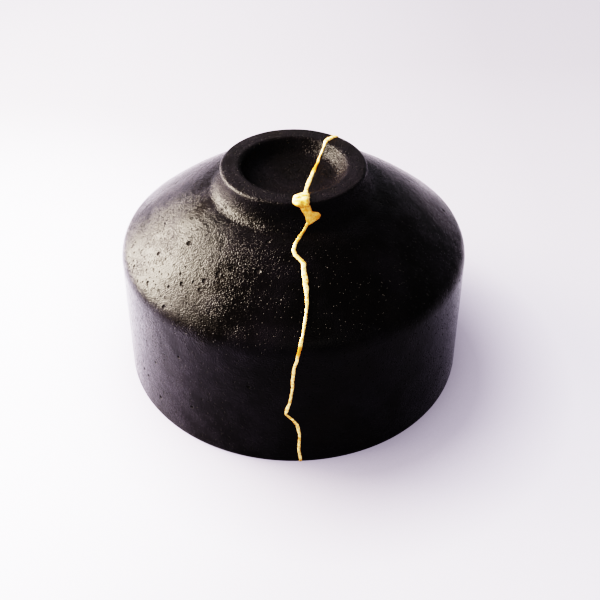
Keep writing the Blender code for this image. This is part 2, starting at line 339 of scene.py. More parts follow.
def curve(start, handle, end, steps):
    """A quadratic curve, without its first point."""
    points = []
    for i in range(1, steps + 1):
        t = i / steps
        near, middle, far = (1 - t) ** 2, 2 * t * (1 - t), t * t
        points.append(tuple(near * a + middle * b + far * c for a, b, c in zip(start, handle, end)))
    return points


def flowing(points, steps):
    """A smooth line through all of the points."""
    line = [points[0]]
    for i in range(len(points) - 1):
        before = points[max(i - 1, 0)]
        after = points[min(i + 2, len(points) - 1)]
        for k in range(1, steps + 1):
            t = k / steps
            place = []
            for a, b, c, d in zip(before, points[i], points[i + 1], after):
                square, cube = 2 * a - 5 * b + 4 * c - d, 3 * b - a - 3 * c + d
                place.append((2 * b + (c - a) * t + square * t**2 + cube * t**3) / 2)
            line.append(tuple(place))
    return line


def evened(points, spacing):
    """The same line with evenly spaced points. Both ends stay."""
    gaps = [math.dist(a[:3], b[:3]) for a, b in zip(points, points[1:])]
    count = max(1, round(sum(gaps) / spacing))
    step = sum(gaps) / count
    line = [tuple(points[0])]
    index = 0
    passed = 0.0
    for k in range(1, count):
        while passed + gaps[index] < k * step:
            passed += gaps[index]
            index += 1
        share = (k * step - passed) / gaps[index]
        line.append(tuple(mix(a, b, share) for a, b in zip(points[index], points[index + 1])))
    return [*line, tuple(points[-1])]


class Bowl:
    """The turned shape, from its sizes. Its own values are shares of them and the steps of its curves."""

    dome_bend = 1.37
    flare_hollow = 0.11
    inside_fullness = 0.56
    hub_share = 0.60
    recess_steps = 8
    edge_steps = 6
    long_steps = 24
    dome_steps = 60
    hip_steps = 12
    lip_steps = 5
    well_steps = 8

    def __init__(self, sizes):
        self.s = sizes
        self.hip_radius = sizes.rim_radius - sizes.rim_spread
        self.neck = sizes.foot_radius + sizes.foot_flare
        self.shoulder = sizes.height - sizes.foot_height
        self.hub = self.s.hip_height * self.hub_share

    def dome_height(self, radius):
        """How high the dome is at a distance from the axis."""
        share = max(0.0, (radius - self.neck) / (self.hip_radius - self.neck))
        return mix(self.shoulder, self.s.hip_height, share**self.dome_bend)

    def well_edge(self):
        """How high the edge of the round pool in the inside is."""
        return self.s.height - self.s.recess_depth - self.s.base - self.s.well_dip

    def recess_line(self):
        """From the recess's middle to its lip."""
        s = self.s
        steps = [(s.recess_radius * out, s.height - s.recess_depth * down) for out, down in RECESS_STEPS]
        return flowing(steps[::-1], self.recess_steps)

    def foot_line(self):
        """From the ring's face, round its edge and down into the dome."""
        s = self.s
        face = (s.foot_radius - s.foot_round, s.height)
        side = (s.foot_radius, s.height - s.foot_round)
        dome = (self.neck, self.shoulder)
        edge = curve(face, (s.foot_radius, s.height), side, self.edge_steps)
        hollow = self.flare_hollow
        bend = (s.foot_radius + s.foot_flare * hollow, mix(dome[1], side[1], hollow))
        return [face, *edge], [side, *curve(side, bend, dome, self.long_steps)]

    def body_line(self):
        """Over the dome, round the hip and down the wall."""
        s = self.s
        end = self.hip_radius - s.hip_in
        count = self.dome_steps
        radii = [mix(self.neck, end, i / count) for i in range(count + 1)]
        dome = [(radius, self.dome_height(radius)) for radius in radii]
        wall_top = (self.hip_radius, s.hip_height - s.hip_down)
        hip = curve(dome[-1], (self.hip_radius, s.hip_height), wall_top, self.hip_steps)
        return dome, [dome[-1], *hip]

    def lip_line(self):
        """Round the rim, with a flat band that the bowl stands on."""
        s = self.s
        outer, inner, turn = s.rim_radius, s.rim_radius - s.lip, s.lip_round
        start = (outer, turn)
        outside = [start, *curve(start, (outer, 0.0), (outer - turn, 0.0), self.lip_steps)]
        band = [outside[-1], (inner + turn, 0.0)]
        inside = curve(band[-1], (inner, 0.0), (inner, turn), self.lip_steps - 1)
        return outside, band, [band[-1], *inside]

    def inside_line(self):
        """Up the inner wall and over to the middle of the well."""
        s = self.s
        radius = self.hip_radius - s.wall
        wall_top = (radius, s.hip_height - s.wall - s.hip_down / 2)
        well = (s.well_radius, self.well_edge())
        corner = (radius, mix(s.hip_height, well[1], self.inside_fullness))
        middle = (0.0, s.height - s.recess_depth - s.base)
        return (
            [(s.rim_radius - s.lip, s.lip_round), wall_top],
            [wall_top, *curve(wall_top, corner, well, self.long_steps)],
            [well, *curve(well, (s.well_radius / 2, middle[1]), middle, self.well_steps)],
        )

    def whole_line(self, outside_step, inside_step):
        """The bowl in section, from the recess's middle, outside and round to the well's middle."""
        s = self.s
        recess = self.recess_line()
        edge, flare = self.foot_line()
        dome, hip = self.body_line()
        lip_out, band, lip_in = self.lip_line()
        wall = [hip[-1], (s.rim_radius, s.lip_round)]
        fine = outside_step / 2
        stretches = [
            (recess, fine * 1.3),
            ([recess[-1], edge[0]], outside_step),
            (edge, fine),
            (flare, fine),
            (dome, outside_step),
            (hip, fine),
            (wall, outside_step),
            (lip_out, fine),
            (band, outside_step),
            (lip_in, fine),
        ]
        stretches += [(stretch, inside_step) for stretch in self.inside_line()]
        line = [recess[0]]
        for points, step in stretches:
            line += evened(points, step)[1:]
        return line

    def place(self, stretch, share, x, side):
        """The y and z of a point on the outside. Side is -1 at the front and 1 at the back."""
        s = self.s
        if stretch == "recess":
            return s.recess_radius * share, s.height - s.recess_depth
        if stretch == "wall":
            radius, height = mix(s.rim_radius, self.hip_radius, share), s.hip_height * share
        elif stretch == "dome":
            radius = mix(self.hip_radius, self.neck, share)
            height = self.dome_height(radius)
        elif stretch == "foot":
            radius = s.foot_radius + s.foot_flare * (1 - share) ** 3
            height = mix(self.shoulder, s.height, share)
        else:
            radius, height = mix(s.foot_radius, s.recess_radius, share), s.height
        return side * math.sqrt(radius**2 - x**2), height

    def pit_place(self, stretch, share, angle):
        """A point on the dome or the wall, by its angle from the front."""
        y, z = self.place(stretch, share, 0.0, -1)
        turn = math.radians(angle)
        return Vector((-y * math.sin(turn), y * math.cos(turn), z))


def relief(point, bowl):
    """How far the hand-worked surface stands out of the turned shape at a point."""
    out = 0.0
    for waves, shift, tall in HAND_WAVES:
        out += noise.noise(point * waves + shift) * tall * MM
    radius = math.hypot(point.x, point.y)
    above_hub = ramp(point.z, bowl.hub, bowl.hub + 15 * MM)
    near_foot = (1.0 - ramp(radius, bowl.neck, bowl.neck + 14 * MM)) * above_hub
    on_floor = ramp(radius, 2 * MM, 6 * MM) * (1.0 - ramp(radius, 15 * MM, 17 * MM))
    in_recess = on_floor * ramp(point.z, bowl.shoulder, bowl.s.height)
    waver = noise.noise(point * RING_WAVES) * RING_WAVER
    out += in_recess * math.sin(radius / RECESS_RING * math.tau + waver) * RECESS_RING_HEIGHT
    out += near_foot * math.sin(radius / FOOT_RING * math.tau + waver) * FOOT_RING_HEIGHT
    return out


def turned_bowl(bowl):
    """The whole bowl as one closed shape, spun from its section, with its hand-worked relief.

    One wedge is spun and then copied round, because a long spin slows down as it grows. The relief fades
    out towards the rim's band, which stays flat."""
    shape = bmesh.new()
    section = bowl.whole_line(OUTSIDE_STEP, INSIDE_STEP)
    line = [shape.verts.new((radius, 0.0, height)) for radius, height in section]
    edges = [shape.edges.new(pair) for pair in zip(line, line[1:])]
    wedge = math.tau / WEDGES
    steps = TURN_STEPS // WEDGES
    bmesh.ops.spin(shape, geom=line + edges, cent=(0, 0, 0), axis=UP, angle=wedge, steps=steps)
    geometry = shape.verts[:] + shape.edges[:] + shape.faces[:]
    for i in range(1, WEDGES):
        made = bmesh.ops.duplicate(shape, geom=geometry)["geom"]
        fresh = [part for part in made if isinstance(part, bmesh.types.BMVert)]
        turn = Matrix.Rotation(i * wedge, 3, "Z")
        bmesh.ops.rotate(shape, verts=fresh, cent=(0, 0, 0), matrix=turn)
    bmesh.ops.remove_doubles(shape, verts=shape.verts[:], dist=WELD)
    bmesh.ops.recalc_face_normals(shape, faces=shape.faces[:])
    shape.normal_update()
    moves = [(vertex, vertex.normal * relief(vertex.co, bowl)) for vertex in shape.verts]
    for vertex, move in moves:
        vertex.co += move * ramp(vertex.co.z, 0.0, 1.5 * MM)
    shape.normal_update()
    return shape


def thrown(context):
    """The bowl's turned form, its whole clay, and a tree that finds where a line meets the clay."""
    bowl = Bowl(context.scene.tea_bowl_clay)
    whole = turned_bowl(bowl)
    return bowl, whole, BVHTree.FromBMesh(whole)


def direction_of(bowl, y, z):
    """Which way the break runs through the clay: outward from the hub above it, and level below it."""
    way = Vector((0.0, y, max(z - bowl.hub, 0.0)))
    return way.normalized()


def lean_at(bowl, y, z):
    """How far the break leans sideways at a place on the outside."""
    if z < bowl.s.height - bowl.s.recess_depth:
        return 0.0
    share = (y / bowl.s.recess_radius - LEAN_START) / (LEAN_FULL - LEAN_START)
    return RECESS_LEAN * min(1.0, max(0.0, share))


def route(bowl, spacing):
    """The break's line on the turned shape as rows of x, y, z, width share and sideways lean."""
    rows = []
    for table, side in ((FRONT_ROUTE, -1), (RECESS_ROUTE, 1), (BACK_ROUTE, 1)):
        for stretch, share, across, width in table:
            x = across * bowl.s.foot_radius
            y, z = bowl.place(stretch, share, x, side)
            rows.append((x, y, z, width, lean_at(bowl, y, z)))
    return evened(rows, spacing)


class Crossing:
    """Where the break's wall meets the outside and the inside of the bowl."""

    def __init__(self, bowl, tree, x, y, z, lean=0.0):
        way = direction_of(bowl, y, z)
        way = Vector((lean, way.y, way.z)).normalized()
        self.way = way
        point = Vector((x, y, z))
        rising = way.z > 0.01
        reach = (z - min(z, bowl.hub)) / way.z if rising else abs(y / way.y)
        start = point - way * reach
        inner, inner_normal, _, _ = tree.ray_cast(start, way)
        self.found = inner is not None
        if not self.found:
            return
        outer, outer_normal, _, _ = tree.ray_cast(inner + way * SKIN, way)
        self.found = outer is not None
        self.inner = inner
        self.outer = outer
        self.inner_normal = inner_normal
        self.outer_normal = outer_normal


def crossings(bowl, tree, rows):
    """A crossing for each row. Past the rim, the last ones found go on straight down."""
    found = [Crossing(bowl, tree, *row[:3], row[4]) for row in rows]
    known = [i for i, crossing in enumerate(found) if crossing.found]
    for i, crossing in enumerate(found):
        if crossing.found:
            continue
        near = found[min(known, key=lambda k: abs(k - i))]
        drop = UP * (rows[i][2] - rows[found.index(near)][2])
        crossing.way = near.way
        crossing.inner, crossing.outer = near.inner + drop, near.outer + drop
        crossing.inner_normal, crossing.outer_normal = near.inner_normal, near.outer_normal
    return found


def swept(rings):
    """A closed body through rings of points, made by extruding the first ring on to each next one."""
    shape = bmesh.new()
    ring = [shape.verts.new(point) for point in rings[0]]
    edges = [shape.edges.new(pair) for pair in zip(ring, ring[1:] + ring[:1])]
    for points in rings[1:]:
        made = bmesh.ops.extrude_edge_only(shape, edges=edges)["geom"]
        fresh = {part for part in made if isinstance(part, bmesh.types.BMVert)}
        ring = [next(e.other_vert(v) for e in v.link_edges if e.other_vert(v) in fresh) for v in ring]
        lines = [part for part in made if isinstance(part, bmesh.types.BMEdge)]
        edges = [line for line in lines if all(v in fresh for v in line.verts)]
        for vertex, point in zip(ring, points):
            vertex.co = point
    ends = [edge for edge in shape.edges if edge.is_boundary]
    bmesh.ops.holes_fill(shape, edges=ends, sides=0)
    bmesh.ops.recalc_face_normals(shape, faces=shape.faces[:])
    return shape


def level_cut(shape, height):
    """Cuts away what is below a height and closes the cut."""
    geometry = shape.verts[:] + shape.edges[:] + shape.faces[:]
    cut = bmesh.ops.bisect_plane(
        shape, geom=geometry, dist=WELD / 10, plane_co=(0, 0, height), plane_no=(0, 0, 1), clear_inner=True
    )
    edges = [part for part in cut["geom_cut"] if isinstance(part, bmesh.types.BMEdge)]
    bmesh.ops.holes_fill(shape, edges=edges, sides=0)
    bmesh.ops.recalc_face_normals(shape, faces=shape.faces[:])


def placed(name, shape, material):
    """A finished object from a shape, in the scene and with its material."""
    mesh = bpy.data.meshes.new(name)
    shape.to_mesh(mesh)
    shape.free()
    mesh.materials.append(material)
    mesh.shade_smooth()
    item = bpy.data.objects.new(name, mesh)
    bpy.context.scene.collection.objects.link(item)
    return item


def break_cutter(bowl, tree, gap):
    """The space of the break through the clay, a little longer than the clay is thick."""
    rows = route(bowl, BREAK_STEP)
    rings = []
    for i, meet in enumerate(crossings(bowl, tree, rows)):
        before, after = rows[max(i - 1, 0)], rows[min(i + 1, len(rows) - 1)]
        run = math.hypot(after[1] - before[1], after[2] - before[2])
        half = ACROSS * gap / 2 * math.hypot(1.0, (after[0] - before[0]) / run)
        inside = meet.inner - meet.way * BREAK_MARGIN
        outside = meet.outer + meet.way * BREAK_MARGIN
        rings.append([inside - half, inside + half, outside + half, outside - half])
    return swept(rings)


def chip_rows(bowl, tree, spacing):
    """Rows across the chip: crossings from its left edge to its right one, and the gold's thickness."""
    rows = []
    for stretch, share, left, right, thick in CHIP_ROWS:
        radius = bowl.s.foot_radius
        middle = (left + right) / 2 * radius
        y, z = bowl.place(stretch, share, middle, -1)
        rows.append((y, z, left * radius, right * radius, thick * MM))
    result = []
    for y, z, left, right, thick in evened(rows, spacing):
        edge = math.hypot((left + right) / 2, y)
        points = []
        for i in range(CHIP_POINTS):
            x = mix(left, right, i / (CHIP_POINTS - 1))
            points.append(Crossing(bowl, tree, x, -math.sqrt(max(edge**2 - x**2, 0.0)), z))
        result.append((points, thick))
    return result


def chip_cutter(bowl, tree, depth):
    """The space of the chip in the foot ring."""
    rings = []
    for points, _ in chip_rows(bowl, tree, CHIP_STEP):
        ends = (points[0], points[-1])
        low = [end.outer - end.way * depth for end in ends]
        high = [end.outer + end.way * CHIP_MARGIN for end in reversed(ends)]
        rings.append(low + high)
    return swept(rings)


def cut_by(item, cutters):
    """Cuts the other bodies out of an object, exactly, and removes them."""
    for cutter in cutters:
        modifier = item.modifiers.new("cut", "BOOLEAN")
        modifier.operation = "DIFFERENCE"
        modifier.solver = "EXACT"
        modifier.object = cutter
    depsgraph = bpy.context.evaluated_depsgraph_get()
    mesh = bpy.data.meshes.new_from_object(item.evaluated_get(depsgraph))
    shape = bmesh.new()
    shape.from_mesh(mesh)
    bmesh.ops.remove_doubles(shape, verts=shape.verts[:], dist=WELD / 10)
    for old in (item, *cutters):
        bpy.data.objects.remove(old)
    return shape


def loose_parts(shape):
    """The groups of joined vertices in a shape."""
    left = set(shape.verts)
    groups = []
    while left:
        group = set()
        front = [left.pop()]
        while front:
            vertex = front.pop()
            group.add(vertex)
            for edge in vertex.link_edges:
                other = edge.other_vert(vertex)
                if other in left:
                    left.remove(other)
                    front.append(other)
        groups.append(group)
    return groups


def tangent_at(meets, i):
    """The direction of the seam's line on the outside, over a few neighbours."""
    before = meets[max(i - 2, 0)].outer
    after = meets[min(i + 2, len(meets) - 1)].outer
    return (after - before).normalized()


def bead_over(centre, normal, side, left, right, height, count):
    """Points of a low rounded bead, from its left edge to its right one. Its edges dip into the glaze."""
    tuck = normal * TUCK_DEPTH
    points = [centre - side * left * TUCK_SHARE - tuck]
    for i in range(count):
        share = mix(-1.0, 1.0, i / (count - 1))
        reach = left if share < 0 else right
        rise = height * (1.0 - share * share) ** CROWN_POWER - BEAD_SINK
        points.append(centre + side * reach * share + normal * rise)
    points.append(centre + side * right * TUCK_SHARE - tuck)
    return points


def uneven(spot, waves_table, shift=0.0 * UP):
    """Noise of a few sizes put together, from rows of waves per metre and height."""
    return sum(tall * noise.noise(spot * waves + shift) for waves, tall in waves_table)


def seam_body(bowl, tree, gold):
    """The gold line: a bead outside, a smaller one inside, and the lacquer between them in the break."""
    rows = route(bowl, SEAM_STEP)
    meets = crossings(bowl, tree, rows)
    rings = []
    for i, (row, meet) in enumerate(zip(rows, meets)):
        spot, normal = meet.outer, meet.outer_normal
        side = tangent_at(meets, i).cross(normal).normalized()
        if side.x < 0:
            side = -side
        half = gold.bead_width / 2 * row[3]
        left = half * (1.0 + uneven(spot, EDGE_WAVES))
        right = half * (1.0 + uneven(spot, EDGE_WAVES, UP))
        shift = side * LINE_SHIFT * noise.noise(spot * SHIFT_WAVE - UP)
        height = gold.bead_height * (1.0 + SWELL_SHARE * noise.noise(spot * SWELL_WAVE + ACROSS))
        outer = bead_over(spot + shift, normal, side, left, right, height, OUTER_BEAD_POINTS)
        thin, low = half * INNER_WIDTH_SHARE, height * INNER_HEIGHT_SHARE
        inner = bead_over(meet.inner, meet.inner_normal, side, thin, thin, low, INNER_BEAD_POINTS)
        stem = side * gold.gap / 2
        neck = meet.way * NECK_DEPTH
        down = [spot - neck + stem, meet.inner + neck + stem]
        back_up = [meet.inner + neck - stem, spot - neck - stem]
        rings.append([*outer, *down, *inner[::-1], *back_up])
    shape = swept(rings)
    level_cut(shape, 0.0)
    return shape


def chip_body(bowl, tree, gold):
    """The gold over the chip: a thick cap on the ring's face and a thinner, wrinkled patch below it."""
    rings = []
    for points, thick in chip_rows(bowl, tree, CHIP_GOLD_STEP):
        top = []
        last = len(points) - 1
        for i, meet in enumerate(points):
            share = abs(2.0 * i / last - 1.0)
            ragged = uneven(meet.outer, WRINKLES)
            rise = thick * (1.0 - share**5) * (1.0 + ragged * WRINKLE_RISE)
            way = (meet.outer_normal * 0.6 + meet.way * 0.4).normalized()
            edge = ACROSS * (1 if i > last / 2 else -1) * share**4 * ragged * FRAY
            top.append(meet.outer + way * rise + edge)
        root = gold.chip_depth * CHIP_ROOT_SHARE
        rings.append([*top, *(end.outer - end.way * root for end in (points[-1], points[0]))])
    return swept(rings)


# Spots where the gold takes a deeper tone, as places in metres with a radius in millimetres. The second, in
# the recess, is painted shade.
DEEP_GOLD_SPOTS = (
    ((0.0018, -0.0598, 0.0492), 2.6),
    ((0.0073, 0.0062, 0.0735), 4.4),
    ((0.0117, 0.0208, 0.0780), 3.0),
)

# Soft patterns in the finishes: size of a grain in millimetres, detail and roughness. From the photo's
# angle one pixel covers about 0.37 mm, so the peel and the dust, which are finer on a real bowl, are drawn
# about as coarse as that, to show at all.
GLAZE_GRAINS = {
    "peel": (0.38, 0.0, 0.5),
    "grit": (1.3, 2.0, 0.6),
    "patches": (7.0, 2.0, 0.5),
    "clouds": (14.0, 4.0, 0.6),
    "rust": (22.0, 3.0, 0.6),
    "satin": (9.0, 3.0, 0.6),
}
GOLD_GRAINS = {
    "folds": (1.1, 3.0, 0.6),
    "dust": (0.35, 2.0, 0.6),
    "streaks": (0.9, 3.0, 0.65),
}
# Dimples between the grains of the peel: their spacing in millimetres
DIMPLE_SPACING = 0.62

# Small holes in the glaze: spacing in millimetres, the range of a cell's chance over which it comes to have
# one, the hole's edge and core as shares of the spacing, and depth. The first are pinholes about half a
# millimetre across, one in several millimetres, and the second are finer pores, one in a millimetre or two.
HOLES = (
    (4.2, (0.62, 0.66), (0.10, 0.05), 1.0),
    (1.15, (0.58, 0.64), (0.30, 0.14), 0.9),
)

# Where the painted shadow of the bowl and the painted glow of the window lie on the table
SHADOW_MIDDLE = (0.014, -0.012, 0.0)
GLOW_MIDDLE = (-0.165, -0.005, 0.0)

# A Mix node has one set of sockets for each kind of value. These are the numbers of those for colours.
FIRST_COLOUR = 6
SECOND_COLOUR = 7
MIXED_COLOUR = 2


def node(tree, kind, inputs=(), **settings):
    """Adds a shader node with its own settings and inputs, and gives its outputs.

    Inputs come as a list in the order of the sockets, or by the socket's name or number. Each is a value or
    another node's output."""
    made = tree.nodes.new("ShaderNode" + kind)
    for name, value in settings.items():
        setattr(made, name, value)
    for key, value in inputs.items() if isinstance(inputs, dict) else enumerate(inputs):
        if isinstance(value, bpy.types.NodeSocket):
            tree.links.new(value, made.inputs[key])
        else:
            made.inputs[key].default_value = value
    return made.outputs


def blank_material(name):
    """A new material, with its nodes, its shader and the place on the object that its patterns follow."""
    made = bpy.data.materials.new(name)
    made.use_nodes = True
    tree = made.node_tree
    return made, tree, tree.nodes["Principled BSDF"], node(tree, "TexCoord")["Object"]


def grains_of(tree, place, table):
    """The soft patterns of a table, by name."""
    grains = {}
    for name, (size, detail, rough) in table.items():
        inputs = {"Vector": place, "Scale": 1 / (size * MM), "Detail": detail, "Roughness": rough}
        grains[name] = node(tree, "TexNoise", inputs)["Fac"]
    return grains


def from_axis(tree, place):
    """How far a place is from the bowl's turning axis."""
    level = node(tree, "VectorMath", [place, (1.0, 1.0, 0.0)], operation="MULTIPLY")["Vector"]
    return node(tree, "VectorMath", [level], operation="LENGTH")["Value"]


def layered_bump(tree, layers):
    """Bumps laid over each other. A row has a pattern, its height in millimetres, its strength, and whether
    it sinks."""
    normal = None
    for pattern, tall, strength, sinks in layers:
        inputs = {"Height": pattern, "Distance": tall * MM, "Strength": strength}
        if normal:
            inputs["Normal"] = normal
        normal = node(tree, "Bump", inputs, invert=sinks)["Normal"]
    return normal


def highest(tree, patterns):
    """The highest of several patterns at each place."""
    top = patterns[0]
    for pattern in patterns[1:]:
        top = node(tree, "Math", [top, pattern], operation="MAXIMUM")["Value"]
    return top


def spots(tree, place, rows):
    """A pattern for each spot, 0 outside it and 1 in its core. A row has its place, edge and core."""
    patterns = []
    for spot, edge, core in rows:
        away = node(tree, "VectorMath", [place, spot], operation="DISTANCE")["Value"]
        patterns.append(node(tree, "MapRange", [away, edge, core])["Result"])
    return patterns


def holes_in(tree, place, bowl):
    """Every hole in the glaze: the pits at their own places, and the small holes strewn between them."""
    pits = [(bowl.pit_place(*pit[:3]), pit[3] * MM * 1.25, pit[3] * MM * 0.55) for pit in PITS]
    found = spots(tree, place, pits)
    for spacing, chance, (edge, core), depth in HOLES:
        cells = node(tree, "TexVoronoi", {"Vector": place, "Scale": 1 / (spacing * MM)})
        has_one = node(tree, "MapRange", [cells["Color"], *chance])["Result"]
        hole = node(tree, "MapRange", [cells["Distance"], edge, core, 0.0, depth])["Result"]
        found.append(node(tree, "Math", [hole, has_one], operation="MULTIPLY")["Value"])
    return highest(tree, found)


def glaze_material(bowl, colours):
    """Black Raku-type glaze, brushed on and fired fast.

    It gives a nearly black, satin-glossy surface with a low shine. A peel of fine grains breaks the edges
    of its reflections into specks, pinholes and pits dot it, and a faint lavender bloom clouds it."""
    made, tree, shader, place = blank_material("black raku glaze")
    grains = grains_of(tree, place, GLAZE_GRAINS)
    near_foot = node(tree, "MapRange", [from_axis(tree, place), 24 * MM, 32 * MM, 0.5, 0.0])["Result"]

    # The peel is stronger in patches and near the foot
    cells = node(tree, "TexVoronoi", {"Vector": place, "Scale": 1 / (DIMPLE_SPACING * MM)})["Distance"]
    dimples = node(tree, "MapRange", [cells, 0.10, 0.50, 0.0, 0.42])["Result"]
    peel = node(tree, "Math", [grains["peel"], dimples], operation="ADD")["Value"]
    patchy = node(tree, "MapRange", [grains["patches"], 0.35, 0.65, 0.55, 1.35])["Result"]
    strength = node(tree, "Math", [patchy, near_foot], operation="ADD")["Value"]
    peel = node(tree, "Math", [peel, strength], operation="MULTIPLY")["Value"]
    holes = holes_in(tree, place, bowl)
    layers = ((peel, 0.13, 1.0, False), (grains["grit"], 0.06, 1.0, False), (holes, 0.5, 1.0, True))

    # Bloom lies in soft clouds, and rust where the glaze is thin
    clouds = node(tree, "MapRange", [grains["clouds"], 0.42, 0.70])["Result"]
    rusty = node(tree, "MapRange", [grains["rust"], 0.55, 0.75])["Result"]
    bloomed = {"Factor": clouds, FIRST_COLOUR: colours.glaze, SECOND_COLOUR: colours.bloom}
    colour = node(tree, "Mix", bloomed, data_type="RGBA")[MIXED_COLOUR]
    rusted = {"Factor": rusty, FIRST_COLOUR: colour, SECOND_COLOUR: colours.rust}
    colour = node(tree, "Mix", rusted, data_type="RGBA")[MIXED_COLOUR]

    # It is duller near the foot, and dull in the holes
    satin = node(tree, "MapRange", [grains["satin"], 0.3, 0.7, 0.06, 0.11])["Result"]
    satin = node(tree, "Math", [near_foot, 0.16, satin], operation="MULTIPLY_ADD")["Value"]
    dull = node(tree, "Math", [holes, 0.85], operation="MULTIPLY")["Value"]

    tree.links.new(colour, shader.inputs["Base Color"])
    tree.links.new(highest(tree, (satin, dull)), shader.inputs["Roughness"])
    tree.links.new(layered_bump(tree, layers), shader.inputs["Normal"])
    shader.inputs["IOR"].default_value = 1.5
    shader.inputs["Specular IOR Level"].default_value = 0.036
    return made


def gold_material(colours):
    """Gold dust burnished on to lacquer.

    It gives a satin half-metal shine, pale where it stands up. Painted shade gives it a deeper tone in the
    hollows of its folds and on the patch over the chip, on the foot ring's outer side. It also has a deeper
    tone at a few spots, one of them painted shade in the recess."""
    made, tree, shader, place = blank_material("gold dust on lacquer")
    grains = grains_of(tree, place, GOLD_GRAINS)
    layers = ((grains["folds"], 0.12, 0.8, False), (grains["dust"], 0.03, 0.6, False))

    # Painted shade on the patch, which is the foot ring's outer side, and streaks of pale gold run through
    # it
    outward = node(tree, "MapRange", [from_axis(tree, place), 22.6 * MM, 23.2 * MM])["Result"]
    height = node(tree, "SeparateXYZ", [place])["Z"]
    upward = node(tree, "MapRange", [height, 68.2 * MM, 69.6 * MM])["Result"]
    patch = node(tree, "Math", [outward, upward], operation="MULTIPLY")["Value"]
    streaks = node(tree, "MapRange", [grains["streaks"], 0.40, 0.60, 1.0, 0.7])["Result"]
    patch = node(tree, "Math", [patch, streaks], operation="MULTIPLY")["Value"]

    # A deeper tone at a few spots; the one in the recess is painted shade
    deep_spots = spots(tree, place, [(spot, radius * MM, radius * MM * 0.5) for spot, radius in DEEP_GOLD_SPOTS])
    # Painted shade: the hollows of the folds, where their bump is low, take the deeper tone
    folds = node(tree, "MapRange", [grains["folds"], 0.62, 0.36])["Result"]
    tones = {
        "Factor": highest(tree, (folds, patch, *deep_spots)),
        FIRST_COLOUR: colours.gold,
        SECOND_COLOUR: colours.deep_gold_and_shade,
    }
    colour = node(tree, "Mix", tones, data_type="RGBA")[MIXED_COLOUR]
    rough = node(tree, "MapRange", [grains["dust"], 0.3, 0.7, 0.40, 0.58])["Result"]

    tree.links.new(colour, shader.inputs["Base Color"])
    tree.links.new(rough, shader.inputs["Roughness"])
    tree.links.new(layered_bump(tree, layers), shader.inputs["Normal"])
    shader.inputs["Metallic"].default_value = 0.5
    return made


def table_material(colours):
    """A matt, pale painted table under a bright sky.

    It gives a nearly white ground. Its own glow stands for the light of the sky, and is less where the bowl
    hides the sky. Painted into that glow are the bowl's shadow, to the front and right, and a pool of the
    window's light at the left."""
    made, tree, shader, place = blank_material("pale table")
    sky = node(tree, "AmbientOcclusion", {"Distance": 70 * MM})["AO"]
    open_sky = node(tree, "MapRange", [sky, 0.56, 0.90, 0.42, 1.0])["Result"]
    half_open = node(tree, "MapRange", [sky, 0.56, 1.0, 0.45, 1.0])["Result"]

    # Painted shadow: the glow dims in a soft round patch to the front and right of the bowl, away from the
    # window
    across = node(tree, "VectorMath", [place, SHADOW_MIDDLE], operation="DISTANCE")["Value"]
    shadow = node(tree, "MapRange", [across, 55 * MM, 90 * MM, 0.42, 1.0])["Result"]
    open_sky = node(tree, "Math", [open_sky, shadow], operation="MULTIPLY")["Value"]

    # Painted light: the glow is brightest at the left, as a pool of the window's light, and the rest falls
    # off to the right and the back
    away = node(tree, "VectorMath", [place, GLOW_MIDDLE], operation="DISTANCE")["Value"]
    reach = [away, 210 * MM, 50 * MM, 0.0, 4.0]
    glow = node(tree, "MapRange", reach, interpolation_type="SMOOTHSTEP")["Result"]
    apart = node(tree, "SeparateXYZ", [place])
    sideways = node(tree, "MapRange", [apart["X"], -120 * MM, 120 * MM, 1.70, 1.12])["Result"]
    backwards = node(tree, "MapRange", [apart["Y"], -100 * MM, 250 * MM, -0.32, 0.36])["Result"]
    even = node(tree, "Math", [sideways, backwards], operation="SUBTRACT")["Value"]
    even = node(tree, "Math", [even, open_sky], operation="MULTIPLY")["Value"]
    bright = node(tree, "Math", [glow, half_open, even], operation="MULTIPLY_ADD")["Value"]
    # Painted shade: the glow turns more lavender where it is dimmed
    shades = {"Factor": open_sky, FIRST_COLOUR: linear("#e8dcf6"), SECOND_COLOUR: linear("#f1e7fb")}
    shade = node(tree, "Mix", shades, data_type="RGBA")[MIXED_COLOUR]

    tree.links.new(bright, shader.inputs["Emission Strength"])
    tree.links.new(shade, shader.inputs["Emission Color"])
    shader.inputs["Base Color"].default_value = colours.floor
    shader.inputs["Roughness"].default_value = 0.9
    shader.inputs["Specular IOR Level"].default_value = 0.0
    return made


class BOWL_OT_shards(bpy.types.Operator):
    """Builds both shards of the broken bowl, with their black glaze"""

    bl_idname = "tea_bowl.shards"
    bl_label = "Bowl Shards"

    def execute(self, context):
        gold = context.scene.tea_bowl_gold
        bowl, whole, tree = thrown(context)
        glaze = glaze_material(bowl, context.scene.tea_bowl_colours)
        cutters = [
            placed("break cutter", break_cutter(bowl, tree, gold.gap), glaze),
            placed("chip cutter", chip_cutter(bowl, tree, gold.chip_depth), glaze),
        ]
        broken = cut_by(placed("whole bowl", whole, glaze), cutters)
        groups = sorted(loose_parts(broken), key=lambda group: sum(v.co.x for v in group) / len(group))
        if len(groups) < 2:
            raise RuntimeError("The break doesn't part the bowl in two")
        broken.verts.index_update()
        for name, kept in (("left_shard", groups[0]), ("right_shard", groups[-1])):
            half = broken.copy()
            indices = {vertex.index for vertex in kept}
            others = [vertex for vertex in half.verts if vertex.index not in indices]
            bmesh.ops.delete(half, geom=others, context="VERTS")
            piece = placed(name + "_glazed", half, glaze)
            piece.data.set_sharp_from_angle(angle=math.radians(SHARP_ANGLE))
            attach(piece, "root")
            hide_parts(name)
        broken.free()
        return {"FINISHED"}


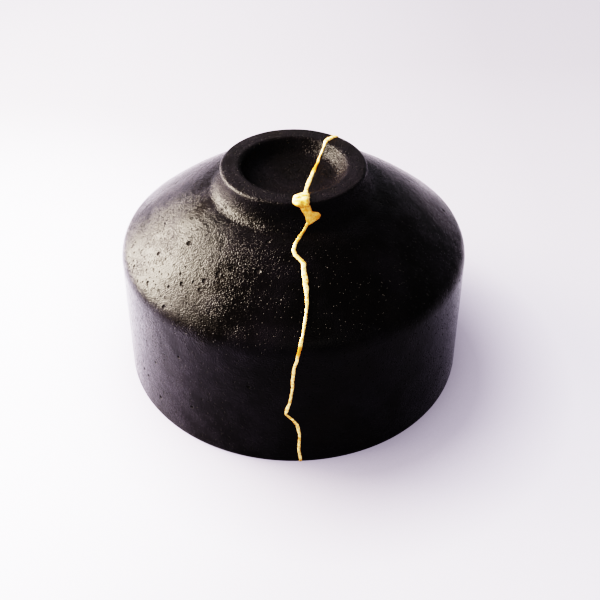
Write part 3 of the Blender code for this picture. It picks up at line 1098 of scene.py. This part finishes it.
class BOWL_OT_gold(bpy.types.Operator):
    """Builds the gold seam with the cap and patch over the chipped foot ring"""

    bl_idname = "tea_bowl.gold"
    bl_label = "Gold Seam"

    def execute(self, context):
        gold = context.scene.tea_bowl_gold
        bowl, whole, tree = thrown(context)
        whole.free()
        shape = seam_body(bowl, tree, gold)
        chip = chip_body(bowl, tree, gold)
        spare = bpy.data.meshes.new("chip gold")
        chip.to_mesh(spare)
        chip.free()
        shape.from_mesh(spare)
        bpy.data.meshes.remove(spare)
        piece = placed("gold_seam_bead", shape, gold_material(context.scene.tea_bowl_colours))
        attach(piece, "root")
        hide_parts("gold_seam")
        return {"FINISHED"}


# The photo's angle: where the camera is, what it faces, its tilt in degrees and its lens in millimetres
CAMERA_EYE = Vector((2.279, -245.866, 224.224)) * MM
CAMERA_TARGET = Vector((2.28, 0.0, 19.41)) * MM
CAMERA_ROLL = 0.21
LENS = 51.32
SENSOR = 36.0

# The round table's size
TABLE_RADIUS = 2.4
TABLE_SIDES = 96

# Soft lights: name, place, the point that it faces, width, height, power and colour
LIGHTS = (
    ("window light", (-0.375, 0.045, 0.245), (0.0, 0.0, 0.245), 0.46, 0.41, 92.0, "#fff0de"),
    ("back card", (-0.30, 0.50, 0.10), (0.0, 0.0, 0.10), 0.34, 0.26, 0.6, "#e6dcf0"),
    ("front card", (0.05, -0.62, 0.42), (0.0, 0.0, 0.04), 0.60, 0.40, 2.5, "#fff8ee"),
    ("ceiling card", (-0.28, 0.50, 0.80), (0.0, 0.0, 0.05), 0.8, 0.8, 6.0, "#f6f0fa"),
)
# Where the window's light fades, to the front, to the back and low down: one of its own axes, a stretch
# along it as shares of its size, and the brightness at both ends of the stretch
WINDOW_FADES = (
    ("X", 0.54, 0.64, 1.0, 0.20),
    ("X", 0.0, 0.25, 0.5, 1.0),
    ("Y", 0.0, 0.5, 0.35, 1.0),
)
STUDIO_COLOUR = "#eeebf3"
STUDIO_STRENGTH = 0.95


def soft_light(name, place, target, width, height, power, colour):
    """Hangs a rectangular soft light that faces a point, and gives its lamp."""
    light = bpy.data.lights.new(name, "AREA")
    light.shape = "RECTANGLE"
    light.size = width
    light.size_y = height
    light.energy = power
    light.color = linear(colour)[:3]
    item = bpy.data.objects.new(name, light)
    item.location = place
    item.rotation_euler = (Vector(target) - Vector(place)).to_track_quat("-Z", "Y").to_euler()
    bpy.context.scene.collection.objects.link(item)
    return light


def draw_curtain(light):
    """Dims a soft light towards its front, back and lower edges, as a half-drawn curtain does."""
    light.use_nodes = True
    tree = light.node_tree
    apart = node(tree, "SeparateXYZ", [node(tree, "NewGeometry")["Parametric"]])
    shine = 1.0
    for axis, *fade in WINDOW_FADES:
        faded = node(tree, "MapRange", [apart[axis], *fade])["Result"]
        shine = node(tree, "Math", [faded, shine], operation="MULTIPLY")["Value"]
    tree.links.new(shine, tree.nodes["Emission"].inputs["Strength"])


class BOWL_OT_stage(bpy.types.Operator):
    """Sets the camera, the pale floor and the soft light from the left"""

    bl_idname = "tea_bowl.stage"
    bl_label = "Stage"

    def execute(self, context):
        scene = context.scene
        camera = bpy.data.cameras.new("photo angle")
        camera.lens = LENS
        camera.sensor_width = SENSOR
        camera.clip_start = 10 * MM
        item = bpy.data.objects.new("photo angle", camera)
        item.location = CAMERA_EYE
        item.rotation_euler = (CAMERA_TARGET - CAMERA_EYE).to_track_quat("-Z", "Y").to_euler()
        item.rotation_euler.rotate_axis("Z", math.radians(CAMERA_ROLL))
        scene.collection.objects.link(item)
        scene.camera = item

        floor = bmesh.new()
        bmesh.ops.create_circle(floor, cap_ends=True, segments=TABLE_SIDES, radius=TABLE_RADIUS)
        placed("floor", floor, table_material(scene.tea_bowl_colours))

        lights = {name: soft_light(name, *rest) for name, *rest in LIGHTS}
        draw_curtain(lights["window light"])

        world = bpy.data.worlds.new("pale studio")
        world.use_nodes = True
        background = world.node_tree.nodes["Background"].inputs
        background["Color"].default_value = linear(STUDIO_COLOUR)
        background["Strength"].default_value = STUDIO_STRENGTH
        scene.world = world
        scene.view_settings.view_transform = "Filmic"
        scene.view_settings.look = "Very High Contrast"
        return {"FINISHED"}


class BOWL_PT_panel(bpy.types.Panel):
    """Lists the bowl's pieces, sizes and colours"""

    bl_idname = "BOWL_PT_panel"
    bl_label = "Mended Tea Bowl"
    bl_space_type = "VIEW_3D"
    bl_region_type = "UI"
    bl_category = "Tea Bowl"

    def draw(self, context):
        for operator in OPERATORS:
            self.layout.operator(operator.bl_idname)
        for name, kind in GROUPS.items():
            box = self.layout.box()
            for prop in kind.__annotations__:
                box.prop(getattr(context.scene, name), prop)


OPERATORS = (BOWL_OT_stage, BOWL_OT_shards, BOWL_OT_gold)
GROUPS = {"tea_bowl_clay": ClaySizes, "tea_bowl_gold": GoldSizes, "tea_bowl_colours": BowlColours}
CLASSES = (*GROUPS.values(), *OPERATORS, BOWL_PT_panel)


def register():
    for item in CLASSES:
        bpy.utils.register_class(item)
    for name, group in GROUPS.items():
        setattr(bpy.types.Scene, name, bpy.props.PointerProperty(type=group))


def unregister():
    for name in GROUPS:
        delattr(bpy.types.Scene, name)
    for item in reversed(CLASSES):
        bpy.utils.unregister_class(item)


def main():
    register()
    bpy.ops.tea_bowl.stage()
    bpy.ops.tea_bowl.shards()
    bpy.ops.tea_bowl.gold()


if __name__ == "__main__":
    main()
